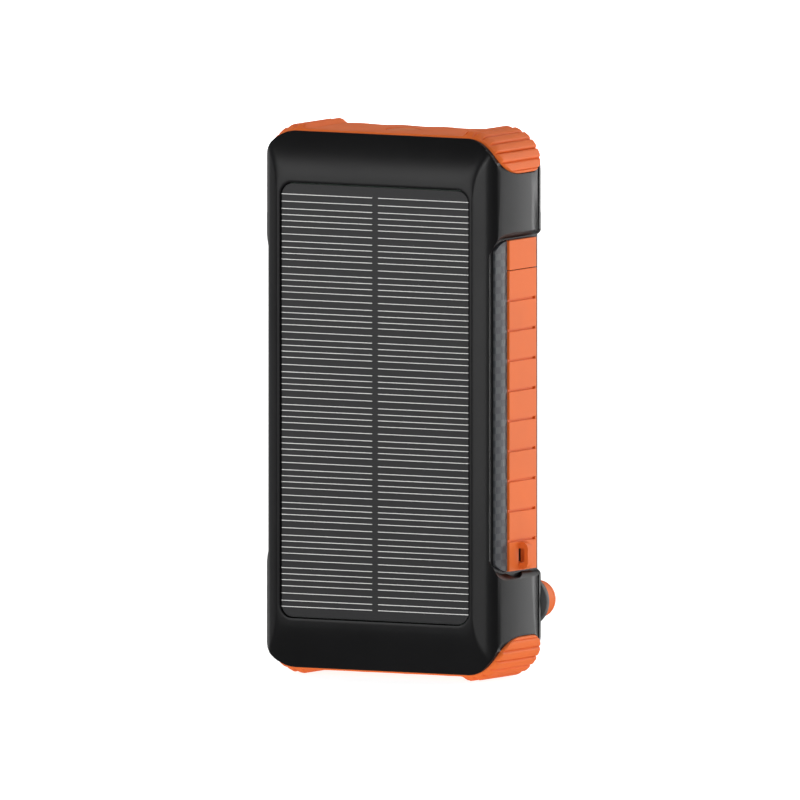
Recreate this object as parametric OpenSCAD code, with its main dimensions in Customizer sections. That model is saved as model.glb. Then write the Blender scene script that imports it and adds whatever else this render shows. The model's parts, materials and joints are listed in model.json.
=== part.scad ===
// Rugged solar phone charger with a hand crank on its back.
// The solar panel faces -Y, the ports open to +X, +Z is up.
// The origin lies on the standing plane, under the middle of the case.

/* [Case] */
// Width of the case, side to side
case_w = 78.4; // [66:0.2:96]
// Height of the case, without the bumper ribs
case_h = 159; // [132:0.5:192]
// Depth of the case, front lip to back face
case_d = 32; // [31:0.5:44]
// Corner radius of the case, seen from the front
case_r = 10.4; // [8:0.2:13]
// Distance from the case outline to the cavity
wall = 4; // [3.6:0.1:5]
// Thickness of the rear cover
cover_t = 2.4; // [2:0.1:3.2]
// How far the front bezel falls back at its outer edge
bezel_drop = 4.4; // [3:0.1:5]
// Width of the rounding on the long front edges
front_edge_w = 3; // [2:0.1:4]
// Size of the small bevel round the back edge
back_edge = 1.1; // [0.5:0.1:1.6]

/* [Solar panel] */
// Width left for the bezel on each side of the panel
bezel_side = 7.35; // [6:0.05:10]
// Height left for the bezel above and below the panel
bezel_end = 15; // [12:0.1:20]
// Corner radius of the panel window
window_r = 4; // [2:0.1:6]
// Width of the flat lip round the window
lip_w = 1.1; // [0.5:0.1:2]
// Depth of the panel pocket
pocket_d = 3; // [2.8:0.1:3.4]
// Gap between the panel and its pocket
panel_gap = 0.2; // [0.1:0.05:0.4]
// How far the cover sheet lies below the lip
panel_sunk = 0.5; // [0.3:0.1:0.8]
// Thickness of the clear cover sheet
sheet_t = 0.6; // [0.4:0.1:0.8]
// Thickness of the silicon strips
cell_t = 0.25; // [0.2:0.05:0.4]
// Thickness of the panel's circuit board
panel_board_t = 1.2; // [0.8:0.1:1.3]
// Number of silicon strips in each column
cell_rows = 13; // [8:1:18]

/* [Bumpers] */
// How far the end ribs stand out of the case
foot_h = 2; // [1.4:0.1:3]
// How far the plain band stands out of the case
band_proud = 0.5; // [0.3:0.1:0.8]
// How deep the bumper is let into the case
bumper_in = 1.4; // [1:0.1:1.8]
// Height of the bumper tongue on the side of the case
bumper_h = 10.9; // [10:0.1:20]
// Width of one rib
rib_w = 2.4; // [1.6:0.1:3]
// Number of ribs round each corner
rib_count = 6; // [4:1:7]

/* [Side recesses] */
// Length of each side recess
recess_h = 99.2; // [80:0.2:116]
// Depth of each side recess
recess_d = 1.9; // [1.5:0.1:2.2]
// Front edge of the grip inlay, measured from the case front
inlay_front = 5.2; // [4.6:0.1:7]
// Radius of the curve at each end of the recess
recess_r = 12; // [8:0.5:14]
// How much the recess ends flare out on their way to the surface
recess_flare = 1.8; // [1:0.1:2.4]
// Width of the chequered grip inlay
inlay_w = 7.5; // [6:0.1:10]
// Thickness of the grip inlay
inlay_t = 1.1; // [0.8:0.1:1.6]
// How deep the grip inlay is let into the recess floor
inlay_seat = 0.5; // [0.3:0.1:0.8]
// Thickness of the soft port cover
cover_strip_t = 1.2; // [1:0.1:1.5]
// Width of the soft port cover
strip_w = 16.6; // [13:0.2:17]
// Space between the ends of the strip and the recess
strip_end = 0.6; // [0.4:0.1:3]
// Number of segments in the strip
strip_segments = 11; // [8:1:14]
// Width of each bending groove
groove_w = 0.75; // [0.5:0.05:1]
// Depth of each bending groove
groove_d = 0.45; // [0.3:0.05:0.6]
// Height of the pull loop
loop_h = 8; // [6:0.2:8.5]
// How far the pull loop stands out
loop_out = 3; // [2.4:0.1:4]

/* [Crank] */
// Height of the crank axis above the standing plane
hub_z = 54.5; // [54:0.5:70]
// Distance from the crank axis to the knob axis
crank_l = 45.8; // [36:0.2:46]
// Thickness of the crank arm
arm_t = 2; // [1.6:0.1:2.6]
// Gap between the arm and the back face
arm_gap = 0.5; // [0.4:0.1:1]
// Radius of the arm's round end at the knob
arm_end_r = 7.7; // [6:0.1:8]
// Radius of the knob
knob_r = 5.5; // [4.5:0.1:6.5]
// Length of the knob
knob_l = 7.8; // [6:0.2:16]
// Radius of the crank shaft
shaft_r = 2.5; // [2:0.1:3]

/* [Gears] */
// Teeth on the crank gear
crank_teeth = 48; // [40:4:52]
// Teeth on the small end of the idler
idler_small_teeth = 12; // [10:1:14]
// Teeth on the large end of the idler
idler_large_teeth = 40; // [32:2:44]
// Teeth on the generator pinion
pinion_teeth = 10; // [8:1:12]
// Module of the first gear pair
module_a = 0.8; // [0.6:0.05:0.85]
// Module of the second gear pair
module_b = 0.5; // [0.4:0.05:0.55]
// Radius of the generator housing
generator_r = 12; // [9:0.5:12.5]

/* [Electronics] */
// Thickness of one battery cell
cell_pack_t = 7.6; // [6:0.1:7.6]
// Width of the main board
board_w = 19.3; // [17:0.1:21]
// Thickness of the main board
board_t = 1.6; // [1:0.1:1.6]
// Radius of the power button
button_r = 4; // [3:0.1:5]
// Travel of the power button
button_travel = 0.6; // [0.3:0.05:0.6]
// Radius of the torch lens
torch_r = 5; // [4:0.1:6]

/* [Hidden] */
$fn = 48;
eps = 0.01;

// Running clearance between a shaft and its bore, on the radius
run_gap = 0.05;
// Clearance between a loose piece and the hole it sits in
fit_gap = 0.2;

hw = case_w / 2;
hd = case_d / 2;
case_z0 = foot_h;
case_z1 = foot_h + case_h;
mid_z = foot_h + case_h / 2;
split_y = hd - cover_t;
window_w = case_w - 2 * bezel_side;
window_h = case_h - 2 * bezel_end;
pocket_y = -hd + pocket_d;
cavity_y = pocket_y + 1.4;
cavity_x = hw - wall;
arc_x = hw - case_r;

// Panel stack, from the front backwards
sheet_y = -hd + panel_sunk;
cells_y = sheet_y + sheet_t;
panel_board_y = cells_y + cell_t;
panel_tape_y = panel_board_y + panel_board_t;
panel_w = window_w - 2 * panel_gap;
panel_h = window_h - 2 * panel_gap;

// Side strips
floor_x = hw - recess_d;
inlay_y0 = -hd + inlay_front;
strip_y0 = inlay_y0 + inlay_w;
strip_y1 = strip_y0 + strip_w;
strip_z0 = mid_z - recess_h / 2 + strip_end;
strip_z1 = mid_z + recess_h / 2 - strip_end;
strip_pitch = (strip_z1 - strip_z0) / strip_segments;
strip_x = floor_x + cover_strip_t;
hinge_z = strip_z1 - strip_pitch;
loop_y = strip_y0 + 0.45 * strip_w;

// Electronics; the board's lower end follows the case height
board_below = 0.3616;
board_above = 51.5;
board_x1 = cavity_x - 0.4;
board_x0 = board_x1 - board_w;
port_y = loop_y;
socket_h = 5.8;
board_y1 = port_y - socket_h / 2;
board_y0 = board_y1 - board_t;
board_z0 = mid_z - board_below * case_h;
board_z1 = mid_z + board_above;
pack_y = cavity_y + 0.6;
pack_gap = 0.3;
side_board_x = -cavity_x + 3.2;
side_board_t = 1;
pack_x0 = side_board_x + side_board_t + 0.7;
pack_x1 = board_x0 - 2;
plate_y0 = pack_y + 2 * cell_pack_t + pack_gap + 0.6;
plate_t = 1.2;
plate_y1 = plate_y0 + plate_t;
button_z = mid_z + 22;
leds_z = mid_z + 4;
led_pitch = 4;
strip_mid_y = (strip_y0 + strip_y1) / 2;

// Gear train: two pairs between the crank shaft and the generator
idler_angle = 225;
generator_angle = 285;
pair_a = module_a * (crank_teeth + idler_small_teeth) / 2;
pair_b = module_b * (idler_large_teeth + pinion_teeth) / 2;
idler_x = pair_a * cos(idler_angle);
idler_z = hub_z + pair_a * sin(idler_angle);
generator_x = idler_x + pair_b * cos(generator_angle);
generator_z = idler_z + pair_b * sin(generator_angle);
crank_tip_r = module_a * (crank_teeth / 2 + 1);
large_tip_r = module_b * (idler_large_teeth / 2 + 1);
wheel_t = 1.8;
idler_y0 = plate_y1 + 0.4;
crank_gear_y = idler_y0 + wheel_t + 0.5;
crank_gear_t = 2;
axle_r = 1;

// Gear plate and its three posts, clear of the gears
plate_gap = 0.15;
gears_x0 = idler_x - large_tip_r - 3.2;
plate_x0 = max(gears_x0, side_board_x + side_board_t + plate_gap);
plate_x1 = board_x0 + 4.4;
plate_z0 = min(generator_z, idler_z - large_tip_r) - 9;
plate_z1 = hub_z + 12.5;
post_r = 2.8;
post_in = 3.6;
post_x0 = max(gears_x0 + post_in, plate_x0 + post_r);
posts = [
    [post_x0, plate_z1 - post_in],
    [post_x0, plate_z0 + post_in],
    [plate_x1 - post_in, min(hub_z - 21, plate_z0 + 20)]
];
pack_z0 = plate_z1 + 1;
pack_z1 = case_z1 - wall - 11;

// Case screws stand in four posts at the corners of the cavity
case_post_r = 3.1;
case_post_x = cavity_x - case_post_r - 0.8;
case_post_z = wall + case_post_r + 2.4;
case_posts = [
    for (sx = [-1, 1])
        for (z = [case_z0 + case_post_z, case_z1 - case_post_z])
            [sx * case_post_x, z]
];
screw_r = 1.2;

// Crank on the back face
arm_y0 = hd + arm_gap;
arm_y1 = arm_y0 + arm_t;
knob_x = crank_l * cos(-45);
knob_z = hub_z + crank_l * sin(-45);
knob_y0 = arm_y1 + 0.2;
cap_t = 1.4;
pin_r = 1.6;

// Torch in the middle of the top bumper
torch_y = 1.5;
torch_board_z = case_z1 - 9.4;
torch_board_t = 1.2;

module along_x(x0, x1) {
    translate([x0, 0, 0]) rotate([90, 0, 90]) linear_extrude(x1 - x0) children();
}

module along_y(y0, y1) {
    translate([0, y1, 0]) rotate([90, 0, 0]) linear_extrude(y1 - y0) children();
}

module rod_x(y, z, x0, x1, r) {
    translate([x0, y, z]) rotate([0, 90, 0]) cylinder(h = x1 - x0, r = r);
}

module rod_y(x, z, y0, y1, r) {
    translate([x, y1, z]) rotate([90, 0, 0]) cylinder(h = y1 - y0, r = r);
}

module block(x0, x1, y0, y1, z0, z1) {
    translate([x0, y0, z0]) cube([x1 - x0, y1 - y0, z1 - z0]);
}

// Rectangle with round corners, centred on x, spanning z0 to z1
module round_rect(w, z0, z1, r) {
    translate([-w / 2 + r, z0]) square([w - 2 * r, z1 - z0]);
    translate([-w / 2, z0 + r]) square([w, z1 - z0 - 2 * r]);
    for (x = [-w / 2 + r, w / 2 - r])
        for (z = [z0 + r, z1 - r])
            translate([x, z]) circle(r = r);
}

// Case outline seen from the front, grown or shrunk by one distance
module outline(grow) {
    round_rect(case_w + 2 * grow, case_z0 - grow, case_z1 + grow, case_r + grow);
}

// Outer shape of the closed case: the meeting of three outlines. In plan the
// side bezel slopes straight back to slope_d, then rounds over down to fall_d.
slope_d = 1.9;
fall_d = 5.6;
bezel_curve = 1.9;
function plan_half() = concat(
    [[window_w / 2 + lip_w, -hd]],
    [for (s = [0 : 0.2 : 1])
        [hw - front_edge_w * (1 - sin(90 * s)), -hd + slope_d + (fall_d - slope_d) * s]],
    [[hw, hd - back_edge], [hw - back_edge, hd]]
);

function mirrored(points) = [for (i = [len(points) - 1 : -1 : 0]) [-points[i][0], points[i][1]]];

function bezel_half() = [
    for (t = [0 : 0.125 : 1])
        [-hd + bezel_drop * pow(t, bezel_curve),
         window_h / 2 + lip_w + (bezel_end - lip_w) * t]
];

function flipped(points) = [for (i = [len(points) - 1 : -1 : 0]) [points[i][0], -points[i][1]]];

module case_solid() {
    intersection() {
        along_y(-hd, hd) outline(0);
        translate([0, 0, case_z0])
            linear_extrude(case_h) polygon(concat(plan_half(), mirrored(plan_half())));
        translate([0, 0, mid_z])
            along_x(-hw, hw) polygon(concat(
                bezel_half(),
                [[hd - back_edge, case_h / 2], [hd, case_h / 2 - back_edge]],
                [[hd, -case_h / 2 + back_edge], [hd - back_edge, -case_h / 2]],
                flipped(bezel_half())
            ));
    }
}

module window(shrink) {
    round_rect(window_w - 2 * shrink, mid_z - window_h / 2 + shrink,
        mid_z + window_h / 2 - shrink, window_r - shrink);
}

// Side view of the space that one bumper covers, for the top end
bumper_y0 = -hd + bezel_drop + 0.6;
bumper_y1 = hd - 1.2;
bumper_front_r = 8;
bumper_back_r = 5;
module bumper_region() {
    z0 = case_z1 - bumper_h;
    translate([bumper_y0, z0 + bumper_front_r])
        square([bumper_y1 - bumper_y0, bumper_h + foot_h - bumper_front_r]);
    translate([bumper_y0 + bumper_front_r, z0])
        square([bumper_y1 - bumper_y0 - bumper_front_r - bumper_back_r, bumper_h]);
    translate([bumper_y0 + bumper_front_r, z0 + bumper_front_r]) circle(r = bumper_front_r);
    translate([bumper_y1 - bumper_back_r, z0 + bumper_back_r]) circle(r = bumper_back_r);
    translate([bumper_y1 - bumper_back_r, z0 + bumper_back_r])
        square([bumper_back_r, bumper_front_r]);
}

module bumper_cut() {
    intersection() {
        difference() {
            along_y(-hd, hd) outline(foot_h);
            along_y(-hd - 1, hd + 1) outline(-bumper_in);
        }
        along_x(-hw - 3, hw + 3) bumper_region();
    }
}

// One rib, standing on the corner arc; it gets lower towards the side
rib_step = 96 / rib_count;
function rib_top(a) = case_r + band_proud + (foot_h - band_proud) * pow(cos(a), 1.2);

module corner_ribs(side) {
    for (i = [0 : rib_count - 1]) {
        a = i * rib_step;
        translate([side * arc_x, 0, case_z1 - case_r]) rotate([0, side * a, 0])
            block(-rib_w / 2, rib_w / 2, bumper_y0 + 2.4, bumper_y1 - 1.2,
                case_r - bumper_in + 0.2, rib_top(a));
    }
}

module end_bumper() {
    intersection() {
        difference() {
            along_y(-hd, hd) outline(band_proud);
            along_y(-hd - 1, hd + 1) outline(-bumper_in);
        }
        along_x(-hw - 3, hw + 3) bumper_region();
    }
    intersection() {
        union() {
            corner_ribs(1);
            corner_ribs(-1);
        }
        along_x(-hw - 3, hw + 3) bumper_region();
    }
}

module flip_end() {
    translate([0, 0, 2 * mid_z]) mirror([0, 0, 1]) children();
}

module top_bumper() {
    color("#f08048") difference() {
        end_bumper();
        translate([0, torch_y, case_z0]) cylinder(h = case_h + 10, r = torch_r + fit_gap);
    }
}

module bottom_bumper() {
    color("#f08048") flip_end() end_bumper();
}

// Side recess on the right: flat floor, open at the front and the back,
// with ends that slope up to the surface in steps
module recess_profile(grow) {
    z0 = mid_z - recess_h / 2 - grow;
    z1 = mid_z + recess_h / 2 + grow;
    y0 = -hd - grow;
    translate([y0 + recess_r, z0]) square([hd + 2 - y0 - recess_r, z1 - z0]);
    translate([y0, z0 + recess_r]) square([recess_r + 1, z1 - z0 - 2 * recess_r]);
    for (z = [z0 + recess_r, z1 - recess_r])
        translate([y0 + recess_r, z]) circle(r = recess_r);
}

recess_steps = 3;
notch_r = 6.8;
notch_y = loop_y - 2.7;
notch_z = strip_z0 + 4.6;
module flared_recess() {
    for (i = [0 : recess_steps - 1]) {
        x = floor_x + recess_d * i / recess_steps;
        along_x(x, hw + 1) recess_profile(recess_flare * i / (recess_steps - 1));
    }
}

module side_recess() {
    flared_recess();
    along_x(floor_x - inlay_seat, hw) inlay_profile(0);
    rod_x(notch_y, notch_z, floor_x, hw + 1, notch_r);
}

module inlay_profile(shrink) {
    intersection() {
        recess_profile(-0.5 - shrink);
        translate([inlay_y0, 0]) square([inlay_w - shrink, 2 * case_h]);
    }
}

module grip_inlay() {
    along_x(floor_x - inlay_seat, floor_x - inlay_seat + inlay_t)
        inlay_profile(fit_gap / 4);
}

module right_grip_inlay() {
    color("#5c5c5c") grip_inlay();
}

module left_grip_inlay() {
    color("#5c5c5c") mirror([1, 0, 0]) grip_inlay();
}

// Sockets: height along Z, thickness along Y, place along Z
usb_a_z = [mid_z + 24, mid_z + 2];
usb_a = [13.2, socket_h, 15];
usb_c_z = mid_z - 17;
usb_c = [9, 3.3, 8.5];
micro_z = mid_z - 32;
micro = [7.6, 2.8, 6];
socket_x1 = floor_x - 0.5;

module socket_block(z, s, grow) {
    block(socket_x1 - s[2] - grow, hw, board_y1 - grow, board_y1 + s[1] + grow,
        z - s[0] / 2 - grow, z + s[0] / 2 + grow);
}

module front_shell() {
    color("#2a2a2a") difference() {
        union() {
            difference() {
                intersection() {
                    case_solid();
                    along_y(-hd - 1, split_y) outline(1);
                }
                along_y(cavity_y, hd) outline(-wall);
            }
            for (p = case_posts) rod_y(p[0], p[1], cavity_y - eps, split_y, case_post_r);
            for (p = board_posts) rod_y(p[0], p[1], cavity_y - eps, board_y0, 2.2);
            for (z = side_posts_z)
                rod_x(strip_mid_y, z, -cavity_x - eps, side_board_x, 1.5);
        }
        along_y(-hd - 1, pocket_y) window(0);
        bumper_cut();
        flip_end() bumper_cut();
        side_recess();
        mirror([1, 0, 0]) side_recess();
        for (z = usb_a_z) socket_block(z, usb_a, fit_gap);
        socket_block(usb_c_z, usb_c, fit_gap);
        socket_block(micro_z, micro, fit_gap);
        for (p = case_posts)
            rod_y(p[0], p[1], split_y - 11, split_y + 1, screw_r + run_gap);
        for (p = board_posts)
            rod_y(p[0], p[1], board_y0 - 6, board_y0 + 1, screw_r - 0.2 + run_gap);
        for (z = panel_lead_z) rod_y(panel_lead_x, z, -hd, 0, lead_r + fit_gap);
        rod_x(strip_mid_y, button_z, -hw - 1, 0, button_r + fit_gap);
        for (i = [0 : 3])
            rod_x(strip_mid_y, leds_z - i * led_pitch, -hw - 1, 0, 1.1 + fit_gap);
        translate([0, torch_y, mid_z]) cylinder(h = case_h, r = torch_r + fit_gap);
        along_y(split_y - 0.8, split_y + 1) seal_ring();
    }
}

side_posts_z = [button_z + 9, leds_z - 4 * led_pitch - 2];
board_posts = [[board_x0 + 3, board_z0 + 4], [board_x0 + 3, board_z1 - 4]];

module seal_ring() {
    difference() {
        outline(-recess_d - 0.5);
        outline(-recess_d - 1.4);
    }
}

module case_seal() {
    color("#3a3a3a") along_y(split_y - 0.8, split_y) seal_ring();
}

module rear_cover() {
    color("#262626") difference() {
        union() {
            intersection() {
                case_solid();
                along_y(split_y, hd) outline(1);
            }
            for (p = posts) rod_y(p[0], p[1], plate_y1, split_y + eps, post_r);
            rod_y(idler_x, idler_z, axle_y1 - 1.2, split_y + eps, 2.6);
            rod_y(0, hub_z, bush_y0, split_y + eps, 6);
        }
        flared_recess();
        mirror([1, 0, 0]) flared_recess();
        rod_y(0, hub_z, 0, hd + 1, bush_r + eps);
        rod_y(idler_x, idler_z, 0, axle_y1, axle_r + eps);
        for (p = posts) rod_y(p[0], p[1], 0, plate_y1 + 4.5, screw_r - 0.2 + run_gap);
        bumper_cut();
        flip_end() bumper_cut();
        for (p = case_posts) {
            rod_y(p[0], p[1], 0, hd + 1, screw_r + fit_gap);
            rod_y(p[0], p[1], hd - 1.3, hd + 1, 2.4 + fit_gap);
        }
    }
}

// Pan head screw along +Y or -Y: head from y1 back to y1 + dir * head_t
module screw(x, z, y, dir, length, r, head_r, head_t) {
    rod_y(x, z, min(y, y - dir * length), max(y, y - dir * length), r);
    difference() {
        rod_y(x, z, min(y, y + dir * head_t), max(y, y + dir * head_t), head_r);
        block(x - head_r * 0.6, x + head_r * 0.6, y + dir * head_t - 0.5,
            y + dir * head_t + 0.5, z - 0.25, z + 0.25);
        block(x - 0.25, x + 0.25, y + dir * head_t - 0.5,
            y + dir * head_t + 0.5, z - head_r * 0.6, z + head_r * 0.6);
    }
}

module case_screws() {
    color("#8a8a8a") for (p = case_posts) screw(p[0], p[1], hd - 1.3, 1, 9, screw_r, 2.4, 1.1);
}

module board_screws() {
    color("#a0a0a0") for (p = board_posts)
        screw(p[0], p[1], board_y1, 1, 6.5, screw_r - 0.2, 2, 1.1);
}

module gear_plate_screws() {
    color("#a0a0a0") for (p = posts) screw(p[0], p[1], plate_y0, -1, 5, screw_r - 0.2, 2, 0.5);
}

// Solar panel
module panel_sheet() {
    color([0.30, 0.30, 0.32, 0.4]) along_y(sheet_y, cells_y) window(panel_gap);
}

module solar_cells() {
    gap = 0.25;
    edge = 2.2;
    pitch = (panel_h - 2 * edge) / cell_rows;
    half_w = panel_w / 2 - 1.2;
    color("#3c3c3e") for (row = [0 : cell_rows - 1])
        for (side = [0, 1])
            block(side == 0 ? -half_w : 1, side == 0 ? -1 : half_w, cells_y, panel_board_y,
                mid_z - panel_h / 2 + edge + row * pitch,
                mid_z - panel_h / 2 + edge + (row + 1) * pitch - gap);
}

module panel_board() {
    color("#16301f") along_y(panel_board_y, panel_tape_y) window(panel_gap);
}

module panel_tape() {
    color("#202020") along_y(panel_tape_y, pocket_y) difference() {
        window(panel_gap + 0.4);
        round_rect(window_w - 10, mid_z - window_h / 2 + 5, mid_z + window_h / 2 - 5, 2);
    }
}

// Port cover: soft strip with bending grooves, fixed at its top segment
module strip_profile(z0, z1) {
    translate([strip_y0 + fit_gap, z0]) square([strip_w - fit_gap, z1 - z0]);
}

module port_cover_anchor() {
    color("#f08048") along_x(floor_x, strip_x) strip_profile(hinge_z + 0.15, strip_z1);
}

module pull_loop() {
    t = 2.8;
    z0 = strip_z0 + 0.3;
    r = 1.6;
    translate([0, loop_y + t / 2, 0]) rotate([90, 0, 0]) linear_extrude(t) difference() {
        union() {
            translate([strip_x - eps, z0]) square([loop_out - r, loop_h]);
            translate([strip_x - eps, z0 + r]) square([loop_out, loop_h - 2 * r]);
            for (z = [z0 + r, z0 + loop_h - r])
                translate([strip_x + loop_out - r - eps, z]) circle(r = r);
        }
        translate([strip_x, z0 + 1.9]) square([loop_out - 1.3, loop_h - 3.8]);
    }
}

module port_cover() {
    color("#f08048") {
        difference() {
            along_x(floor_x, strip_x) strip_profile(strip_z0, hinge_z - 0.15);
            for (i = [1 : strip_segments - 2])
                block(strip_x - groove_d, strip_x + 1, strip_y0 - 1, strip_y1 - 0.6,
                    strip_z0 + i * strip_pitch - groove_w / 2,
                    strip_z0 + i * strip_pitch + groove_w / 2);
        }
        pull_loop();
    }
}

module left_trim_strip() {
    color("#f08048") mirror([1, 0, 0]) difference() {
        along_x(floor_x, strip_x) strip_profile(strip_z0, strip_z1);
        for (i = [1 : strip_segments - 1])
            block(strip_x - groove_d, strip_x + 1, strip_y0 - 1, strip_y1 - 0.6,
                strip_z0 + i * strip_pitch - groove_w / 2,
                strip_z0 + i * strip_pitch + groove_w / 2);
        rod_x(strip_mid_y, button_z, 0, hw, button_r + fit_gap);
        for (i = [0 : 3]) rod_x(strip_mid_y, leds_z - i * led_pitch, 0, hw, 1.1 + fit_gap);
    }
}

// Power button: head, and a flange that stops it behind the wall
button_x0 = -strip_x - 0.5;
flange_x1 = -cavity_x + 0.9;
module power_button() {
    color("#2c2c2c") {
        rod_x(strip_mid_y, button_z, button_x0, -cavity_x + 0.1, button_r);
        rod_x(strip_mid_y, button_z, -cavity_x + 0.1, flange_x1, button_r + 1.2);
    }
}

module indicator_window() {
    color("#dfe6ea") {
        for (i = [0 : 3])
            rod_x(strip_mid_y, leds_z - i * led_pitch, -strip_x, -cavity_x + eps, 1.1);
        block(-cavity_x, -cavity_x + 0.8, strip_mid_y - 1.8, strip_mid_y + 1.8,
            leds_z - 3 * led_pitch - 2, leds_z + 2);
    }
}

module button_board() {
    color("#1d5c36") block(side_board_x, side_board_x + side_board_t, strip_mid_y - 5,
        strip_mid_y + 5, side_posts_z[1] - 2, side_posts_z[0] + 2);
}

module tact_switch() {
    color("#b8b8b8") {
        block(side_board_x - 1, side_board_x, strip_mid_y - 3, strip_mid_y + 3,
            button_z - 3, button_z + 3);
        rod_x(strip_mid_y, button_z, flange_x1 + button_travel + 0.1, side_board_x - 1, 1.5);
    }
}

module indicator_leds() {
    color("#e8e8d8") for (i = [0 : 3])
        block(side_board_x - 0.8, side_board_x, strip_mid_y - 0.8, strip_mid_y + 0.8,
            leds_z - i * led_pitch - 0.8, leds_z - i * led_pitch + 0.8);
}

// Torch, with its lens sunk below the rim of its hole
lens_t = 1.2;
lens_sunk = 0.4;
reflector_z1 = case_z1 - lens_sunk - lens_t;
module torch_lens() {
    color([0.9, 0.95, 1, 0.4]) translate([0, torch_y, reflector_z1])
        cylinder(h = lens_t, r = torch_r);
}

module torch_reflector() {
    z0 = torch_board_z + torch_board_t;
    color("#d8d8dc") translate([0, torch_y, 0]) rotate_extrude() polygon([
        [2, z0], [3, z0], [torch_r, reflector_z1 - 2], [torch_r, reflector_z1],
        [torch_r - 0.6, reflector_z1]
    ]);
}

module torch_board() {
    color("#1d5c36") block(-9, board_x0 + 3.6, cavity_y, 8, torch_board_z,
        torch_board_z + torch_board_t);
}

module torch_led() {
    color("#f4efc0") block(-1.2, 1.2, torch_y - 1.2, torch_y + 1.2,
        torch_board_z + torch_board_t, torch_board_z + torch_board_t + 0.9);
}

// Battery: two flat pouch cells stuck to the pocket floor and to each other
module pouch(y0) {
    block(pack_x0, pack_x1, y0, y0 + cell_pack_t, pack_z0, pack_z1);
}

module battery_front() {
    color("#c9ccd0") pouch(pack_y);
}

module battery_rear() {
    color("#c9ccd0") pouch(pack_y + cell_pack_t + pack_gap);
}

module battery_tape() {
    color("#30343a") {
        block(pack_x0 + 4, pack_x1 - 4, cavity_y, pack_y, pack_z0 + 4, pack_z1 - 4);
        block(pack_x0 + 4, pack_x1 - 4, pack_y + cell_pack_t,
            pack_y + cell_pack_t + pack_gap, pack_z0 + 4, pack_z1 - 4);
    }
}

module main_board() {
    color("#1d5c36") difference() {
        block(board_x0, board_x1, board_y0, board_y1, board_z0, board_z1);
        for (p = board_posts) rod_y(p[0], p[1], board_y0 - 1, board_y1 + 1, screw_r);
    }
}

module socket(z, s, t) {
    difference() {
        block(socket_x1 - s[2], socket_x1, board_y1, board_y1 + s[1],
            z - s[0] / 2, z + s[0] / 2);
        block(socket_x1 - s[2] + 1, socket_x1 + 1, board_y1 + t, board_y1 + s[1] - t,
            z - s[0] / 2 + t, z + s[0] / 2 - t);
    }
    block(socket_x1 - s[2] + 1 - eps, socket_x1 - 1, board_y1 + s[1] / 2 - s[1] * 0.14,
        board_y1 + s[1] / 2 + s[1] * 0.14, z - s[0] * 0.36, z + s[0] * 0.36);
}

module usb_a_sockets() {
    color("#c8c8c8") for (z = usb_a_z) socket(z, usb_a, 0.35);
}

module usb_c_socket() {
    color("#c8c8c8") socket(usb_c_z, usb_c, 0.35);
}

module micro_usb_socket() {
    color("#c8c8c8") socket(micro_z, micro, 0.35);
}

module board_components() {
    color("#2b2b2b") {
        block(board_x0 + 8, board_x0 + 15, board_y0 - 3, board_y0, mid_z - 8, mid_z - 1);
        block(board_x0 + 7, board_x0 + 13, board_y0 - 1, board_y0, mid_z + 8, mid_z + 14);
        block(board_x0 + 8, board_x0 + 12, board_y0 - 1, board_y0, mid_z - 30, mid_z - 26);
        rod_y(board_x0 + 12, mid_z + 28, board_y0 - 6, board_y0, 2.5);
        rod_y(board_x0 + 12, mid_z - 16, board_y0 - 6, board_y0, 2.5);
    }
}

// Gear outline: straight-sided teeth, a little thinner than half a pitch
function tooth(n, m, i) = [
    for (c = [[-0.29, -1.15], [-0.12, 0.85], [0.12, 0.85], [0.29, -1.15]])
        let (a = (i + c[0]) * 360 / n, r = m * (n / 2 + c[1]))
            [r * cos(a), r * sin(a)]
];

module gear_shape(n, m, turn) {
    rotate(turn) polygon([for (i = [0 : n - 1]) each tooth(n, m, i)]);
}

// A gear lying in the XZ plane, at x, z, from y0 to y1
module gear(x, z, y0, y1, n, m, turn, bore) {
    translate([x, y1, z]) rotate([90, 0, 0]) linear_extrude(y1 - y0) difference() {
        gear_shape(n, m, turn);
        circle(r = bore);
    }
}

module crank_gear() {
    color("#e8e4d8") difference() {
        gear(0, hub_z, crank_gear_y, crank_gear_y + crank_gear_t, crank_teeth, module_a,
            idler_angle, shaft_r + eps);
        for (a = [30 : 60 : 330])
            rod_y(0.62 * crank_tip_r * cos(a), hub_z + 0.62 * crank_tip_r * sin(a),
                0, hd, 3.4);
    }
}

module idler_gear() {
    small_turn = idler_angle + 180 + 180 / idler_small_teeth;
    color("#e8e4d8") {
        gear(idler_x, idler_z, idler_y0, idler_y0 + wheel_t, idler_large_teeth, module_b,
            generator_angle, axle_r + run_gap);
        gear(idler_x, idler_z, idler_y0 + wheel_t, crank_gear_y + crank_gear_t + 0.3,
            idler_small_teeth, module_a, small_turn, axle_r + run_gap);
    }
}

module generator_pinion() {
    color("#c8a858") gear(generator_x, generator_z, idler_y0, idler_y0 + wheel_t + 0.3,
        pinion_teeth, module_b, generator_angle + 180 + 180 / pinion_teeth,
        axle_r + eps);
}

axle_y1 = split_y + 0.6;
module idler_axle() {
    color("#b0b0b4") rod_y(idler_x, idler_z, plate_y0, axle_y1, axle_r);
}

module gear_plate() {
    color("#9a9aa0") difference() {
        block(plate_x0, plate_x1, plate_y0, plate_y1, plate_z0, plate_z1);
        for (p = posts) rod_y(p[0], p[1], plate_y0 - 1, plate_y1 + 1, screw_r);
        rod_y(0, hub_z, plate_y0 - 1, plate_y1 + 1, 1.5 + run_gap);
        rod_y(idler_x, idler_z, plate_y0 - 1, plate_y1 + 1, axle_r + eps);
        rod_y(generator_x, generator_z, plate_y0 - 1, plate_y1 + 1, axle_r + 0.5);
    }
}

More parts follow.
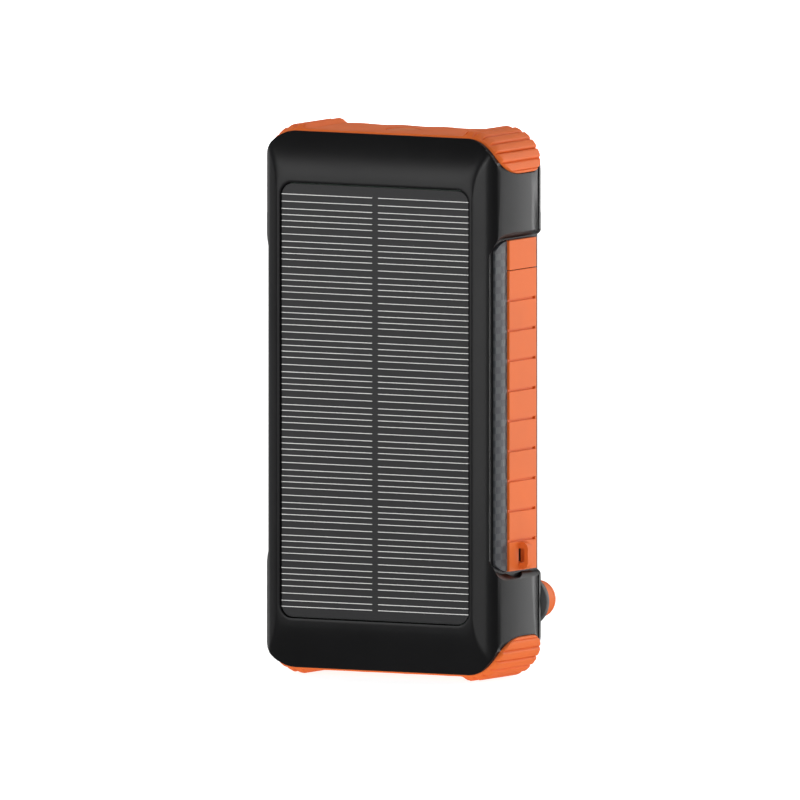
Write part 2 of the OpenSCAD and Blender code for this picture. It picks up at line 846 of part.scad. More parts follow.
// Generator: hollow round housing with a magnet rotor on its shaft, and a
// terminal block on its side that stays within the 1 mm wall
generator_y0 = cavity_y + 2;
terminal_z = max(board_z0 + 2, generator_z);
terminal_pitch = 2;
terminal_in = 0.8;
module generator_housing() {
    color("#8d8f94") difference() {
        rod_y(generator_x, generator_z, generator_y0, plate_y0, generator_r);
        rod_y(generator_x, generator_z, generator_y0 + 3, plate_y0 - 1, generator_r - 1);
        rod_y(generator_x, generator_z, generator_y0 + 1, plate_y0 + 1, 2.5);
    }
    color("#8d8f94")
        rod_y(generator_x, generator_z, cavity_y, generator_y0 + eps, 4);
    color("#8d8f94")
        block(generator_x + generator_r - terminal_in, generator_x + generator_r + terminal_in,
            lead_y - 1.2, lead_y + 1.2, terminal_z - 1, terminal_z + terminal_pitch + 1);
}

module generator_bush() {
    color("#c8a858") for (y = [generator_y0 + 1, plate_y0 - 1])
        difference() {
            rod_y(generator_x, generator_z, y, y + 1, 2.5);
            rod_y(generator_x, generator_z, y - 1, y + 2, axle_r + run_gap);
        }
}

module generator_shaft() {
    color("#b0b0b4") rod_y(generator_x, generator_z, generator_y0 + 1.2,
        idler_y0 + wheel_t + 0.6, axle_r);
}

module generator_rotor() {
    color("#55585e") difference() {
        rod_y(generator_x, generator_z, generator_y0 + 3.6, plate_y0 - 1.6, generator_r - 2);
        rod_y(generator_x, generator_z, generator_y0, plate_y0, axle_r + eps);
    }
}

// Crank
bush_r = 4.2;
bush_y0 = crank_gear_y + crank_gear_t + 0.3;
module crank_bush() {
    color("#c8a858") difference() {
        rod_y(0, hub_z, bush_y0, hd + 0.2, bush_r);
        rod_y(0, hub_z, 0, hd + 2, shaft_r + run_gap);
    }
}

module crank_shaft() {
    color("#b0b0b4") difference() {
        union() {
            rod_y(0, hub_z, plate_y0 + 0.1, plate_y1 + 0.4, 1.5);
            rod_y(0, hub_z, plate_y1 + 0.3, arm_y1, shaft_r);
        }
        rod_y(0, hub_z, arm_y1 - 7, arm_y1 + 1, screw_r + run_gap);
    }
}

module crank_arm() {
    hub_r = 9;
    bar_w = 11;
    color("#4c4c4e") along_y(arm_y0, arm_y1) difference() {
        union() {
            translate([0, hub_z]) circle(r = hub_r);
            translate([knob_x, knob_z]) circle(r = arm_end_r);
            translate([0, hub_z]) rotate(-45) translate([0, -bar_w / 2])
                square([crank_l, bar_w]);
        }
        translate([0, hub_z]) circle(r = shaft_r + eps);
        translate([knob_x, knob_z]) circle(r = pin_r + eps);
    }
}

module crank_screw() {
    color("#8a8a8a") screw(0, hub_z, arm_y1, 1, 6, screw_r, 4.2, 1.4);
}

module knob_pin() {
    color("#b0b0b4") {
        rod_y(knob_x, knob_z, arm_y0, knob_y0 + knob_l - cap_t - 1.6, pin_r);
        rod_y(knob_x, knob_z, knob_y0 + knob_l - cap_t - 1.6, knob_y0 + knob_l - cap_t - 0.6, 2.6);
    }
}

module crank_knob() {
    color("#f08048") difference() {
        rod_y(knob_x, knob_z, knob_y0, knob_y0 + knob_l - cap_t, knob_r);
        rod_y(knob_x, knob_z, knob_y0 - 1, knob_y0 + knob_l, pin_r + run_gap);
        rod_y(knob_x, knob_z, knob_y0 + knob_l - cap_t - 1.9, knob_y0 + knob_l, 2.9);
    }
}

module knob_cap() {
    color("#f08048") rod_y(knob_x, knob_z, knob_y0 + knob_l - cap_t, knob_y0 + knob_l, knob_r);
}

// Short leads between the boards, the cells and the generator
lead_r = 0.5;
lead_y = (board_y0 + board_y1) / 2;
panel_lead_x = board_x0 + 2;
panel_lead_z = [mid_z + 18, mid_z + 20];

module battery_leads() {
    z = pack_z0 - 5;
    color("#b03030") for (i = [0, 1]) {
        x = pack_x1 - 4 - 2.5 * i;
        translate([x, lead_y, z - 2 * i]) cylinder(h = 5 + 2 * i, r = lead_r);
        translate([x, lead_y, z - 2 * i]) sphere(r = lead_r);
        rod_x(lead_y, z - 2 * i, x, board_x0, lead_r);
    }
}

module panel_leads() {
    color("#b03030") for (z = panel_lead_z)
        rod_y(panel_lead_x, z, panel_tape_y, board_y0, lead_r);
}

module generator_leads() {
    color("#3050a0") for (z = [terminal_z, terminal_z + terminal_pitch])
        rod_x(lead_y, z, generator_x + generator_r + terminal_in, board_x0, lead_r);
}

module torch_leads() {
    color("#3050a0") for (dx = [0, 1.6])
        translate([board_x0 + 1 + dx, lead_y, board_z1])
            cylinder(h = torch_board_z - board_z1, r = lead_r);
}

module button_leads() {
    y = pack_y + 2 * cell_pack_t + pack_gap + 1.1;
    x1 = board_x0 + 2.4;
    z0 = max(side_posts_z[1] + 6, plate_z1 + 2 * lead_r);
    color("#3050a0") for (z = [z0, z0 + 2]) {
        rod_x(y, z, side_board_x + side_board_t, x1, lead_r);
        translate([x1, y, z]) sphere(r = lead_r);
        rod_y(x1, z, board_y1, y, lead_r);
    }
}

front_shell();
rear_cover();
top_bumper();
bottom_bumper();
panel_sheet();
solar_cells();
panel_board();
panel_tape();
right_grip_inlay();
left_grip_inlay();
left_trim_strip();
port_cover_anchor();
port_cover();
power_button();
indicator_window();
button_board();
tact_switch();
indicator_leds();
torch_lens();
torch_reflector();
torch_board();
torch_led();
battery_front();
battery_rear();
battery_tape();
main_board();
usb_a_sockets();
usb_c_socket();
micro_usb_socket();
board_components();
board_screws();
case_seal();
case_screws();
gear_plate();
gear_plate_screws();
crank_bush();
idler_axle();
generator_housing();
generator_bush();
crank_shaft();
crank_gear();
crank_arm();
crank_screw();
knob_pin();
crank_knob();
knob_cap();
idler_gear();
generator_shaft();
generator_rotor();
generator_pinion();
battery_leads();
panel_leads();
generator_leads();
torch_leads();
button_leads();
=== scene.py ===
import json
import math

import bmesh
import bpy
from mathutils import Matrix, Vector


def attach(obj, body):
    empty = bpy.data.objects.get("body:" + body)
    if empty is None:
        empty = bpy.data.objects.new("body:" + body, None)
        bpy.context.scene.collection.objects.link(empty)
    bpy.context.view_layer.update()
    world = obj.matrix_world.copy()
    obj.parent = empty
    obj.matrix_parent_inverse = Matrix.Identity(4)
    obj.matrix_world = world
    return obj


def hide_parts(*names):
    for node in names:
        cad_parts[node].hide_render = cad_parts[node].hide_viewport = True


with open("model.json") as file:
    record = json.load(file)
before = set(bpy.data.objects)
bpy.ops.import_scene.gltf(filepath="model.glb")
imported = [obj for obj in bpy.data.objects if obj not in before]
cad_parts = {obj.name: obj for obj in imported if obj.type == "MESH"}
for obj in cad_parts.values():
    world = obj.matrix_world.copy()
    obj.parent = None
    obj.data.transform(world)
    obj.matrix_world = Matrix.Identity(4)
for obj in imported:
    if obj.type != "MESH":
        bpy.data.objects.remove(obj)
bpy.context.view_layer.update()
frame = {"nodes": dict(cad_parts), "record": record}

# ---------------------------------------------------------------------------
# Studio: a long-lens view of the charger standing on a pale floor, seen a
# little from its port side, with two strip lights that rake along its sides.
# ---------------------------------------------------------------------------
MM = 0.001
MID_Z = 81.5
VIEW_TURN = math.radians(29.1)
VIEW_RISE = math.radians(4.9)
VIEW_SPAN = 0.2361

camera_data = bpy.data.cameras.new("studio_camera")
camera_data.type = "ORTHO"
camera_data.ortho_scale = VIEW_SPAN
camera = bpy.data.objects.new("studio_camera", camera_data)
bpy.context.scene.collection.objects.link(camera)
bpy.context.scene.camera = camera
aim = Vector((-0.0002, 0, MID_Z * MM))
toward = Vector((
    math.sin(VIEW_TURN) * math.cos(VIEW_RISE),
    -math.cos(VIEW_TURN) * math.cos(VIEW_RISE),
    math.sin(VIEW_RISE),
))
camera.location = aim + toward * 1.5
camera.rotation_euler = (-toward).to_track_quat("-Z", "Y").to_euler()

bpy.context.scene.view_settings.view_transform = "Standard"
world = bpy.data.worlds.new("studio_world")
bpy.context.scene.world = world
world.use_nodes = True
world.node_tree.nodes["Background"].inputs["Color"].default_value = (1, 1, 1, 1)
world.node_tree.nodes["Background"].inputs["Strength"].default_value = 0.12


def panel_light(name, azimuth, height, distance, size, power):
    """An area light standing round the object and aimed at its middle."""
    data = bpy.data.lights.new(name, "AREA")
    data.shape = "RECTANGLE"
    data.size, data.size_y = size
    data.energy = power
    lamp = bpy.data.objects.new(name, data)
    bpy.context.scene.collection.objects.link(lamp)
    turn = math.radians(azimuth)
    lamp.location = (distance * math.sin(turn), -distance * math.cos(turn), height)
    lamp.rotation_euler = (aim - lamp.location).to_track_quat("-Z", "Y").to_euler()
    return lamp


panel_light("key_sheet", -28, 0.26, 1.0, (0.5, 0.5), 2.9)
panel_light("fill_sheet", 33, 0.2, 1.8, (0.6, 0.5), 8.0)
panel_light("port_side_strip", 152, 0.08, 0.22, (0.03, 0.3), 0.22)
panel_light("button_side_strip", -105, 0.08, 0.3, (0.07, 0.3), 0.08)
panel_light("overhead_sheet", 150, 0.7, 0.3, (0.4, 0.3), 1.2)


# A pale floor sheet runs far back under the standing ribs, and a bright sheet
# hangs behind it.
def new_material(name):
    """An empty procedural material: its node tree and its surface shader."""
    made = bpy.data.materials.new(name)
    made.use_nodes = True
    return made, made.node_tree, made.node_tree.nodes["Principled BSDF"]


floor_material, _, floor_shader = new_material("floor_paper")
floor_shader.inputs["Base Color"].default_value = (0.35, 0.35, 0.35, 1)
floor_shader.inputs["Roughness"].default_value = 0.9
floor_shader.inputs["Emission Color"].default_value = (1, 1, 1, 1)
floor_shader.inputs["Emission Strength"].default_value = 0.88
paper_material, _, paper_shader = new_material("backdrop_paper")
paper_shader.inputs["Base Color"].default_value = (1, 1, 1, 1)
paper_shader.inputs["Emission Color"].default_value = (1, 1, 1, 1)
paper_shader.inputs["Emission Strength"].default_value = 1.0
FLOOR_R = 1.6
PAPER_H = 1.5
ROUND = 96
rim = [(FLOOR_R * math.cos(2 * math.pi * i / ROUND), FLOOR_R * math.sin(2 * math.pi * i / ROUND))
       for i in range(ROUND)]
floor_mesh = bpy.data.meshes.new("floor")
floor_mesh.from_pydata([(x, y, 0) for x, y in rim], [], [list(range(ROUND))])
paper_mesh = bpy.data.meshes.new("backdrop")
back = [i for i in range(ROUND) if rim[i][1] * math.cos(VIEW_TURN) - rim[i][0] * math.sin(VIEW_TURN) > -0.3]
paper_mesh.from_pydata(
    [(x, y, 0) for x, y in rim] + [(x, y, PAPER_H) for x, y in rim], [],
    [(i, (i + 1) % ROUND, (i + 1) % ROUND + ROUND, i + ROUND) for i in back])
for name, mesh, material in (("floor", floor_mesh, floor_material),
                             ("backdrop", paper_mesh, paper_material)):
    sheet = bpy.data.objects.new(name, mesh)
    bpy.context.scene.collection.objects.link(sheet)
    sheet.data.materials.append(material)
    sheet.visible_glossy = False


# ---------------------------------------------------------------------------
# Front shell: one black ABS moulding that holds everything. A soft bezel falls
# away from the panel window, the sides are nearly straight, and seats for the
# two bumpers and the two side strips are sunk into it.
# ---------------------------------------------------------------------------
def tone(code):
    """A colour as a painter writes it, turned into linear light."""
    channels = [int(code[i:i + 2], 16) / 255 for i in (0, 2, 4)]
    return [c / 12.92 if c <= 0.04045 else ((c + 0.055) / 1.055) ** 2.4 for c in channels] + [1]


def moulded(name, colour, rough, grain=1800, grain_depth=0.02, drift=0.12):
    """Moulded plastic or rubber: fine grain, and a slow drift in colour and gloss."""
    made, tree, shader = new_material(name)
    place = tree.nodes.new("ShaderNodeTexCoord")
    slow = tree.nodes.new("ShaderNodeTexNoise")
    slow.inputs["Scale"].default_value = 45
    slow.inputs["Detail"].default_value = 3
    fine = tree.nodes.new("ShaderNodeTexNoise")
    fine.inputs["Scale"].default_value = grain
    fine.inputs["Detail"].default_value = 2
    tree.links.new(place.outputs["Object"], slow.inputs["Vector"])
    tree.links.new(place.outputs["Object"], fine.inputs["Vector"])
    shade = tree.nodes.new("ShaderNodeValToRGB")
    base = tone(colour)
    shade.color_ramp.elements[0].position = 0.3
    shade.color_ramp.elements[1].position = 0.7
    shade.color_ramp.elements[0].color = [c * (1 - drift) for c in base[:3]] + [1]
    shade.color_ramp.elements[1].color = [min(1, c * (1 + drift)) for c in base[:3]] + [1]
    tree.links.new(slow.outputs["Fac"], shade.inputs["Fac"])
    tree.links.new(shade.outputs["Color"], shader.inputs["Base Color"])
    gloss = tree.nodes.new("ShaderNodeMapRange")
    gloss.inputs["To Min"].default_value = rough - 0.05
    gloss.inputs["To Max"].default_value = rough + 0.05
    tree.links.new(slow.outputs["Fac"], gloss.inputs["Value"])
    tree.links.new(gloss.outputs["Result"], shader.inputs["Roughness"])
    bump = tree.nodes.new("ShaderNodeBump")
    bump.inputs["Strength"].default_value = 1.0
    bump.inputs["Distance"].default_value = grain_depth * MM
    tree.links.new(fine.outputs["Fac"], bump.inputs["Height"])
    tree.links.new(bump.outputs["Normal"], shader.inputs["Normal"])
    return made


def arc(cx, cy, rx, ry, start, end, steps):
    """Points on a stretch of ellipse, in degrees."""
    return [(cx + rx * math.cos(math.radians(start + (end - start) * i / steps)),
             cy + ry * math.sin(math.radians(start + (end - start) * i / steps)))
            for i in range(steps + 1)]


def round_rect(half_w, half_h, r, steps=24):
    """Outline of a rectangle with round corners, anticlockwise round 0, 0."""
    points = []
    for sx, sy, start in ((1, 1, 0), (-1, 1, 90), (-1, -1, 180), (1, -1, 270)):
        points += arc(sx * (half_w - r), sy * (half_h - r), r, r, start, start + 90, steps)
    return points


def ring(half_w, half_h, r, y):
    """A round rectangle standing across Y at the middle of the case."""
    return [(x, y, z + MID_Z) for x, z in round_rect(half_w, half_h, r)]


def loft(name, rings):
    """A closed body whose skin runs through the rings, with both ends capped."""
    bm = bmesh.new()
    rows = [[bm.verts.new(Vector(p) * MM) for p in points] for points in rings]
    count = len(rings[0])
    for low, high in zip(rows, rows[1:]):
        for i in range(count):
            bm.faces.new((low[i], low[(i + 1) % count], high[(i + 1) % count], high[i]))
    bm.faces.new(rows[0][::-1])
    bm.faces.new(rows[-1])
    return make_piece(name, bm)


def make_piece(name, bm):
    """A new object from a bmesh, with its faces pointing outwards."""
    bmesh.ops.remove_doubles(bm, verts=bm.verts, dist=1e-7)
    bmesh.ops.recalc_face_normals(bm, faces=bm.faces)
    mesh = bpy.data.meshes.new(name)
    bm.to_mesh(mesh)
    bm.free()
    made = bpy.data.objects.new(name, mesh)
    bpy.context.scene.collection.objects.link(made)
    return made


def settle(piece):
    """Turns a piece and its live modifiers into one plain mesh."""
    scene_now = bpy.context.evaluated_depsgraph_get()
    mesh = bpy.data.meshes.new_from_object(piece.evaluated_get(scene_now))
    mesh.name = piece.name
    piece.modifiers.clear()
    piece.data = mesh


def carve(piece, cutters, operation="DIFFERENCE"):
    """Cuts, joins or keeps what the cutters share with the piece."""
    for cutter in cutters:
        step = piece.modifiers.new("carve", "BOOLEAN")
        step.operation = operation
        step.solver = "EXACT"
        step.object = cutter
    settle(piece)
    for cutter in cutters:
        bpy.data.objects.remove(cutter)


EDGE_STEPS = 2
EDGE_ANGLE = math.radians(32)


def soften(piece, width, flat=False):
    """Rounds every crease by a moulding radius; big flat faces can be kept flat."""
    shade_smooth(piece)
    edge = piece.modifiers.new("edge", "BEVEL")
    edge.width = width * MM
    edge.segments = EDGE_STEPS
    edge.limit_method = "ANGLE"
    edge.angle_limit = EDGE_ANGLE
    edge.miter_outer = "MITER_ARC"
    edge.harden_normals = flat
    settle(piece)
    if not flat:
        shade_smooth(piece)


def shade_smooth(piece, angle=38):
    piece.data.shade_smooth()
    piece.data.set_sharp_from_angle(angle=math.radians(angle))


def prism(name, outline, axis, low, high):
    """A flat outline drawn out along X, Y or Z between two places."""
    def at(a, b, along):
        return {"X": (along, a, b), "Y": (a, along, b), "Z": (a, b, along)}[axis]
    bm = bmesh.new()
    rows = [[bm.verts.new(Vector(at(a, b, along)) * MM) for a, b in outline]
            for along in (low, high)]
    count = len(outline)
    for i in range(count):
        j = (i + 1) % count
        bm.faces.new((rows[0][i], rows[0][j], rows[1][j], rows[1][i]))
    bm.faces.new(rows[0][::-1])
    bm.faces.new(rows[1])
    return make_piece(name, bm)


def finish(piece, material, body, slot, *nodes):
    """Paints a piece, says which body it moves with and hides the CAD parts it stands for; slot is not
    used.
    """
    piece.data.materials.clear()
    piece.data.materials.append(material)
    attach(piece, body)
    if nodes:
        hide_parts(*nodes)


CASE_HALF_W = 39.2
CASE_HALF_H = 79.5
CASE_HALF_D = 16.0
CASE_CORNER = 10.4
ARC_X = CASE_HALF_W - CASE_CORNER
ARC_Z = CASE_HALF_H - CASE_CORNER
SPLIT_Y = 13.6
WINDOW = (31.85, 64.5, 4.0)
LIP = 1.1
BEZEL_EDGE = (36.2, 1.9)
SIDE_FALL = 5.6
END_FALL = 4.4
WALL = 4.0
CREASE = 6.0


def side_reach(depth):
    """Half width of the front shell: a flat slope, a round edge, a slightly full side."""
    inner = WINDOW[0] + LIP
    edge_w, edge_d = BEZEL_EDGE
    if depth >= SIDE_FALL:
        return CASE_HALF_W - 0.2 * ((depth - 17) / 12) ** 2
    if depth <= edge_d:
        return inner + (edge_w - inner) * (depth / edge_d) ** 0.92
    share = (depth - edge_d) / (SIDE_FALL - edge_d)
    return edge_w + (CASE_HALF_W - 0.18 - edge_w) * math.sin(share * math.pi / 2) ** 0.9


def end_reach(depth):
    """Half height of the front shell: a hollow-ground bezel and a small round edge."""
    inner = WINDOW[1] + LIP
    if depth >= END_FALL + 0.45:
        return CASE_HALF_H
    if depth > END_FALL - 0.25:
        return CASE_HALF_H - 0.5 * ((END_FALL + 0.45 - depth) / 0.7) ** 2
    return inner + (CASE_HALF_H - 0.5 - inner) * (depth / (END_FALL - 0.25)) ** (1 / 1.9)


def case_ring(depth, steps=24):
    """The skin at one depth: bezel corners meet in a soft crease inside the outline."""
    w, h = side_reach(depth), end_reach(depth)
    cx, cz = min(ARC_X, w - 4), min(ARC_Z, h - 5)
    power = 2 + (CREASE - 2) * min(1.0, depth / 0.8)
    quarter = []
    for i in range(steps + 1):
        turn = math.radians(90 * i / steps)
        c, n = math.cos(turn), math.sin(turn)
        near = ((c / (w - cx)) ** power + (n / (h - cz)) ** power) ** (-1 / power)
        dx, dz = ARC_X - cx, ARC_Z - cz
        along = dx * c + dz * n
        arc_r = CASE_CORNER - (CASE_HALF_W - w if depth >= SIDE_FALL else 0)
        far = along + math.sqrt(max(0.0, along ** 2 - dx ** 2 - dz ** 2 + arc_r ** 2))
        reach = min(near, far) if depth < SIDE_FALL else far
        quarter.append((cx + reach * c, cz + reach * n))
    points = quarter + [(-x, z) for x, z in reversed(quarter)]
    points += [(-x, -z) for x, z in quarter] + [(x, -z) for x, z in reversed(quarter)]
    return [(x, depth - CASE_HALF_D, z + MID_Z) for x, z in points]


w0, h0, r0 = WINDOW
shell_rings = [
    ring(w0, h0, r0, -13),
    ring(w0, h0, r0, -15.7),
    ring(w0 + 0.08, h0 + 0.08, r0 + 0.08, -15.92),
    ring(w0 + 0.3, h0 + 0.3, r0 + 0.3, -16),
    ring(w0 + 0.85, h0 + 0.85, r0 + 0.8, -16),
]
for depth in (0.04, 0.1, 0.18, 0.3, 0.45, 0.65, 0.9, 1.2, 1.5, 1.8, 2.1, 2.3, 2.5, 2.75,
              3, 3.3, 3.6, 3.9, 4.15, 4.3, 4.5, 4.7, 4.85, 5.1, 7, 9, 13, 17, 21, 25, 29.3):
    shell_rings.append(case_ring(depth))
shell_rings.append(ring(CASE_HALF_W - 0.35, CASE_HALF_H - 0.25, CASE_CORNER, SPLIT_Y - 0.05))
inner_wall = (CASE_HALF_W - WALL, CASE_HALF_H - WALL, CASE_CORNER - WALL)
shell_rings.append(ring(*inner_wall, SPLIT_Y - 0.05))
shell_rings.append(ring(*inner_wall, -11.6))
front_shell = loft("front_shell_moulding", shell_rings)

# Seats for the bumpers: the side view of one bumper, less the core of the case.
BUMPER_FRONT = -11.0
BUMPER_BACK = 14.8
TONGUE_Z = 150.1
SEAT_GAP = 0.22
SEAT_DEEP = 1.3
ABOVE = 170
OUTSIDE = 45
INSIDE = 30
TONGUE_FRONT = (14.0, 8.5)
TONGUE_BACK = (5.0, 5.0)


def bumper_side_view(grow):
    """Side view of the top bumper: a deep round tongue, leaning to the back."""
    front, back, low = BUMPER_FRONT - grow, BUMPER_BACK + grow, TONGUE_Z - grow
    fy, fz = TONGUE_FRONT
    by, bz = TONGUE_BACK
    points = [(front, ABOVE)]
    points += arc(front + fy, low + fz, fy, fz, 180, 270, 14)
    points += arc(back - by, low + bz, by, bz, 270, 360, 8)
    points.append((back, ABOVE))
    return points


def bumper_seat(upside_down):
    """The hollow that a bumper snaps into, a little larger than the bumper."""
    seat = prism("seat", bumper_side_view(SEAT_GAP), "X", -OUTSIDE, OUTSIDE)
    core = (CASE_HALF_W - SEAT_DEEP, CASE_HALF_H - SEAT_DEEP, CASE_CORNER - SEAT_DEEP)
    core_outline = [(x, z + MID_Z) for x, z in round_rect(*core, 16)]
    carve(seat, [prism("core", core_outline, "Y", -INSIDE, INSIDE)])
    if upside_down:
        seat.data.transform(Matrix.Translation((0, 0, 2 * MID_Z * MM)) @ Matrix.Diagonal((1, 1, -1, 1)))
        seat.data.flip_normals()
    return seat


# Side recess: a flat floor open at the front and back, with flared ends, and a
# scoop for a fingernail below the strip.
FLOOR_X = 37.3
INLAY_TOP = 37.95
RECESS_HALF_H = 49.6
RECESS_R = 12.0
FLARE = 1.8
RECESS_DEEP = CASE_HALF_W - FLOOR_X
INLAY_FRONT = -10.8
INLAY_W = 7.5
POCKET_INSET = 0.45
POCKET_DEEP = 0.5
STRIP_FRONT = INLAY_FRONT + INLAY_W
STRIP_W = 16.6
STRIP_FACE = 38.5
STRIP_Z0 = MID_Z - 49
STRIP_Z1 = MID_Z + 49
SEGMENTS = 11
PITCH = (STRIP_Z1 - STRIP_Z0) / SEGMENTS
MID_STRIP_Y = STRIP_FRONT + STRIP_W / 2
LOOP_Y = STRIP_FRONT + 0.45 * STRIP_W
SCOOP = (LOOP_Y - 2.7, STRIP_Z0 + 4.6, 6.8)


def recess_outline(grow, back=22):
    front, half = -CASE_HALF_D - grow, RECESS_HALF_H + grow
    r = RECESS_R
    points = [(back, MID_Z + half)]
    points += arc(front + r, MID_Z + half - r, r, r, 90, 180, 24)
    points += arc(front + r, MID_Z - half + r, r, r, 180, 270, 24)
    points.append((back, MID_Z - half))
    return points


def flared_cutter():
    """A recess cutter whose ends flare out from the floor to past the surface."""
    bm = bmesh.new()
    rows = []
    for share in (0, 0.1, 0.35, 0.65, 1, 1.8):
        grow = FLARE * (share - 0.12 * math.sin(math.pi * min(1, share)))
        x = FLOOR_X + RECESS_DEEP * share
        rows.append([bm.verts.new(Vector((x, y, z)) * MM) for y, z in recess_outline(grow)])
    count = len(rows[0])
    for low, high in zip(rows, rows[1:]):
        for i in range(count):
            j = (i + 1) % count
            bm.faces.new((low[i], low[j], high[j], high[i]))
    bm.faces.new(rows[0])
    bm.faces.new(rows[-1])
    return make_piece("recess", bm)


def on_side(cutter, side):
    """Mirrors a piece made for the port side to the button side."""
    if side < 0:
        cutter.data.transform(Matrix.Diagonal((-1, 1, 1, 1)))
        cutter.data.flip_normals()
    return cutter


def disc_x(name, y, z, r, x0, x1):
    outline = arc(y, z, r, r, 0, 352.5, 47)
    return prism(name, outline, "X", x0, x1)


def slot_x(name, y, z, width, height, x0, x1, r=0.6):
    outline = [(a + y, b + z) for a, b in round_rect(width / 2, height / 2, r, 4)]
    return prism(name, outline, "X", x0, x1)


def inlay_limit(gap):
    """The stretch of the recess floor that the grip inlay covers."""
    front, back = INLAY_FRONT + gap, STRIP_FRONT - gap
    return prism("limit", [(front, 0), (back, 0), (back, ABOVE), (front, ABOVE)], "X",
                 0, OUTSIDE)


cuts = [bumper_seat(False), bumper_seat(True)]
for side in (1, -1):
    cuts.append(on_side(flared_cutter(), side))
    inlay_cut = prism("inlay_cut", recess_outline(-POCKET_INSET), "X",
                      FLOOR_X - POCKET_DEEP, FLOOR_X + 1)
    carve(inlay_cut, [inlay_limit(0)], "INTERSECT")
    cuts.append(on_side(inlay_cut, side))
    cuts.append(on_side(disc_x("scoop", *SCOOP, FLOOR_X, OUTSIDE), side))
USB_A_Z = (MID_Z + 24, MID_Z + 2)
USB_C_Z = MID_Z - 17
MICRO_USB_Z = MID_Z - 32
BUTTON_R = 4.2
LED_R = 1.3
PORT_FRONT = LOOP_Y - 2.9
for z in USB_A_Z:
    cuts.append(slot_x("usb_a_window", LOOP_Y, z, 6.2, 13.6, INSIDE, OUTSIDE))
cuts.append(slot_x("usb_c_window", PORT_FRONT + 1.65, USB_C_Z, 3.7, 9.4, INSIDE, OUTSIDE, 1.6))
cuts.append(slot_x("micro_usb_window", PORT_FRONT + 1.4, MICRO_USB_Z, 3.2, 8.0, INSIDE, OUTSIDE))
BUTTON_Z = MID_Z + 22
LEDS_Z = [MID_Z + 4 - 4 * i for i in range(4)]
cuts.append(disc_x("button_hole", MID_STRIP_Y, BUTTON_Z, BUTTON_R, -OUTSIDE, -INSIDE))
for z in LEDS_Z:
    cuts.append(disc_x("led_hole", MID_STRIP_Y, z, LED_R, -OUTSIDE, -INSIDE))
TORCH_Y = 1.5
WELL_R = 5.2
WELL_Z0 = 150
torch_well = arc(0, TORCH_Y, WELL_R, WELL_R, 0, 352.5, 47)
cuts.append(prism("torch_well", torch_well, "Z", WELL_Z0, ABOVE))
carve(front_shell, cuts)
soften(front_shell, 0.22, flat=True)
black_abs = moulded("black_abs", "121213", 0.34, grain=2600, grain_depth=0.01)
black_abs.node_tree.nodes["Principled BSDF"].inputs["Specular IOR Level"].default_value = 0.22
finish(front_shell, black_abs, "case", "black_shell", "front_shell")

# ---------------------------------------------------------------------------
# Rear cover: a shallow black lid with a rolled edge and four screw holes,
# screwed to the posts of the front shell. The crank shaft comes out through it.
# ---------------------------------------------------------------------------
HUB_Z = 54.5
cover_rings = [ring(*inner_wall, SPLIT_Y)]
for inset, y in ((0.35, SPLIT_Y + 0.02), (0.08, SPLIT_Y + 0.3), (0.1, 14.6), (0.3, 15.2),
                 (0.65, 15.65), (1.1, 15.9), (1.7, 16.0), (4.2, 16.0), (4.6, 15.9), (5.0, 15.75),
                 (5.4, 15.75)):
    cover_rings.append(ring(CASE_HALF_W - inset, CASE_HALF_H - inset,
                            max(CASE_CORNER - inset * 0.6, 4), y))
rear_cover = loft("rear_cover_moulding", cover_rings)
SCREW_X = 31.3
SCREW_Z = [11.5, 151.5]
CASE_SCREWS = [(sx * SCREW_X, z) for sx in (-1, 1) for z in SCREW_Z]


def disc_y(name, x, z, r, y0, y1):
    return prism(name, arc(x, z, r, r, 0, 352.5, 47), "Y", y0, y1)


cover_cuts = [bumper_seat(False), bumper_seat(True),
              disc_y("bush_hole", 0, HUB_Z, 4.22, 10, 20)]
for side in (1, -1):
    cover_cuts.append(on_side(flared_cutter(), side))
for x, z in CASE_SCREWS:
    cover_cuts.append(disc_y("screw_hole", x, z, 2.7, 14.7, 20))
carve(rear_cover, cover_cuts)
soften(rear_cover, 0.2, flat=True)
finish(rear_cover, black_abs, "case", "black_shell", "rear_cover")

# ---------------------------------------------------------------------------
# Bumpers: orange rubber caps snapped over both ends. A plain band crosses the
# end, round ribs run front to back over each corner, and a smooth tongue
# reaches down each side.
# ---------------------------------------------------------------------------
RIB_COUNT = 6
RIB_STEP = math.radians(96 / RIB_COUNT)
BAND = 0.5
RIB_TOP = 1.88
ARC_LENGTH = CASE_CORNER * math.pi / 2
SIDE_LENGTH = MID_Z + CASE_HALF_H - CASE_CORNER - TONGUE_Z
HALF_PATH = ARC_X + ARC_LENGTH + SIDE_LENGTH


RIB_LEAN = 0.6
RIB_ROUND = 6
CREASE_LOW = 0.6
CREASE_MORE = 0.7
WAVE_H = 0.12
WAVE_L = 14.2
TONGUE_OUT = 0.42
RUBBER_T = 1.2
ROLL_R = 0.6
TUCK = 0.45
PATH_STEP = 0.15
PATH_BEND = 5


def on_outline(s):
    """Place and outward direction on the case outline, s along from the middle."""
    a = abs(s)
    sign = 1 if s >= 0 else -1
    top = MID_Z + CASE_HALF_H
    if a <= ARC_X:
        return sign * a, top, 0.0, 1.0
    if a <= ARC_X + ARC_LENGTH:
        t = (a - ARC_X) / CASE_CORNER
        return (sign * (ARC_X + CASE_CORNER * math.sin(t)), top - CASE_CORNER * (1 - math.cos(t)),
                sign * math.sin(t), math.cos(t))
    return sign * CASE_HALF_W, top - CASE_CORNER - (a - ARC_X - ARC_LENGTH), sign * 1.0, 0.0


def smooth(t):
    t = min(1.0, max(0.0, t))
    return t * t * (3 - 2 * t)


